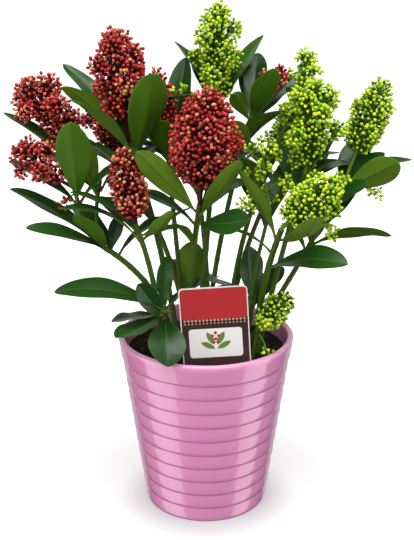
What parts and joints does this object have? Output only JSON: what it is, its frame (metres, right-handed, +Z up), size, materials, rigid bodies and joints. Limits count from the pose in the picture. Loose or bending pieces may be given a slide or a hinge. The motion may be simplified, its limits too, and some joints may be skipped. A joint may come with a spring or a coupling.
{
  "type": "potted skimmia",
  "caption": "Evergreen skimmia shrub with upright red and green bud clusters over glossy leaves, in a ribbed pink ceramic pot with a plant label.",
  "frame": {"origin": "centre of the pot's flat underside", "axes": "+Z up, along the height; the plant label faces -Y; +X to the right as seen from the front"},
  "size_m": [0.3312, 0.2203, 0.4277],
  "materials": {
    "pot": "glossy pink glaze over horizontal ribs",
    "soil": "dark, damp, crumbly potting mix",
    "label": null,
    "stem": "smooth young green bark, reddish at the nodes",
    "leaf": "glossy dark green leaves with paler undersides",
    "red_buds": "satin crimson and salmon buds",
    "green_buds": "satin yellow-green buds"
  },
  "bodies": {
    "root": {"buds_green_back": "green_buds", "buds_green_far_right": "green_buds", "buds_green_low": "green_buds", "buds_green_rear_right": "green_buds", "buds_green_right": "green_buds", "buds_green_sparse": "green_buds", "buds_green_tall": "green_buds", "buds_red_back": "red_buds", "buds_red_far_left": "red_buds", "buds_red_front": "red_buds", "buds_red_left": "red_buds", "buds_red_low": "red_buds", "buds_red_middle": "red_buds", "buds_red_rear": "red_buds", "buds_red_rear_left": "red_buds", "buds_red_tall": "red_buds", "label": "label", "leaves_green_back": "leaf", "leaves_green_far_right": "leaf", "leaves_green_low": "leaf", "leaves_green_rear_right": "leaf", "leaves_green_right": "leaf", "leaves_green_sparse": "leaf", "leaves_green_tall": "leaf", "leaves_left": "leaf", "leaves_low_left": "leaf", "leaves_low_rear": "leaf", "leaves_low_right": "leaf", "leaves_red_back": "leaf", "leaves_red_far_left": "leaf", "leaves_red_front": "leaf", "leaves_red_left": "leaf", "leaves_red_low": "leaf", "leaves_red_middle": "leaf", "leaves_red_rear": "leaf", "leaves_red_rear_left": "leaf", "leaves_red_tall": "leaf", "pot": "pot", "soil": "soil", "spray_low": "green_buds", "stem_green_back": "stem", "stem_green_far_right": "stem", "stem_green_low": "stem", "stem_green_rear_right": "stem", "stem_green_right": "stem", "stem_green_sparse": "stem", "stem_green_tall": "stem", "stem_left": "stem", "stem_red_back": "stem", "stem_red_far_left": "stem", "stem_red_front": "stem", "stem_red_left": "stem", "stem_red_low": "stem", "stem_red_middle": "stem", "stem_red_rear": "stem", "stem_red_rear_left": "stem", "stem_red_tall": "stem"}
  },
  "joints": []
}
